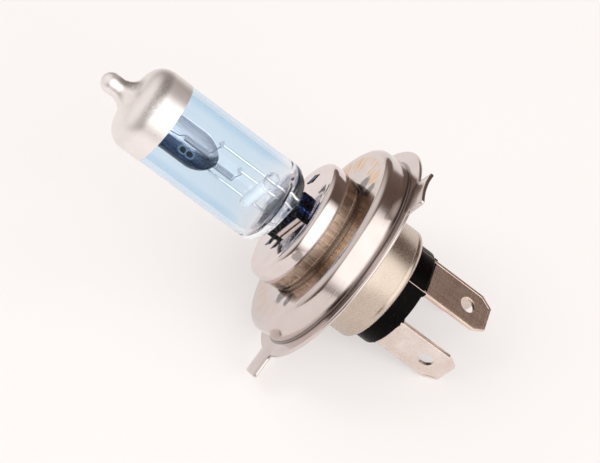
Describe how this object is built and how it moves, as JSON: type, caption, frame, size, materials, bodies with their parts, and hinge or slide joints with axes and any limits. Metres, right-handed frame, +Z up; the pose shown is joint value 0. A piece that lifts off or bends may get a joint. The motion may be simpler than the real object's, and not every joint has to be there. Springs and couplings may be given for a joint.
{
  "type": "headlight bulb",
  "caption": "Twin-filament headlight bulb: blue-tinted glass tube with a silvered tip, three-tab prefocus flange and flat blade terminals.",
  "frame": {"origin": "centre of the reference plane, the flange's front face, on the bulb's axis", "axes": "+X along the bulb's axis towards the blades, so the glass tip points along -X; +Z up, towards the wide reference tab and the top blade"},
  "size_m": [0.078, 0.043, 0.0465],
  "materials": {
    "tinted_glass": "polished, pale blue tint",
    "tip_coating": "satin opaque coating",
    "tungsten": "drawn wire",
    "molybdenum": "bright",
    "clear_quartz": "clear",
    "lead_wire": "plain wire",
    "bright_steel": "polished",
    "blued_steel": "dark, heat blued",
    "heat_tinted_steel": "brushed, heat tinted",
    "ring_steel": "polished, lightly brushed",
    "satin_nickel": "satin, warm",
    "black_insulator": "glossy black",
    "dark_terminal": "tarnished",
    "plain_terminal": "matt tinned"
  },
  "bodies": {
    "root": {"glass_envelope": "tinted_glass", "tip_coating": "tip_coating", "low_beam_filament": "tungsten", "high_beam_filament": "tungsten", "shield_cup": "molybdenum", "support_wire_low": "molybdenum", "support_wire_high": "molybdenum", "support_wire_common": "molybdenum", "quartz_bridge": "clear_quartz", "foil_low": "molybdenum", "foil_high": "molybdenum", "foil_common": "molybdenum", "outer_lead_low": "lead_wire", "outer_lead_high": "lead_wire", "outer_lead_common": "lead_wire", "pinch_clip": "blued_steel", "front_cap": "bright_steel", "focus_sleeve": "heat_tinted_steel", "reference_ring": "ring_steel", "base_shell": "satin_nickel", "insulator": "black_insulator", "terminal_top": "dark_terminal", "terminal_left": "plain_terminal", "terminal_right": "plain_terminal"}
  },
  "joints": []
}
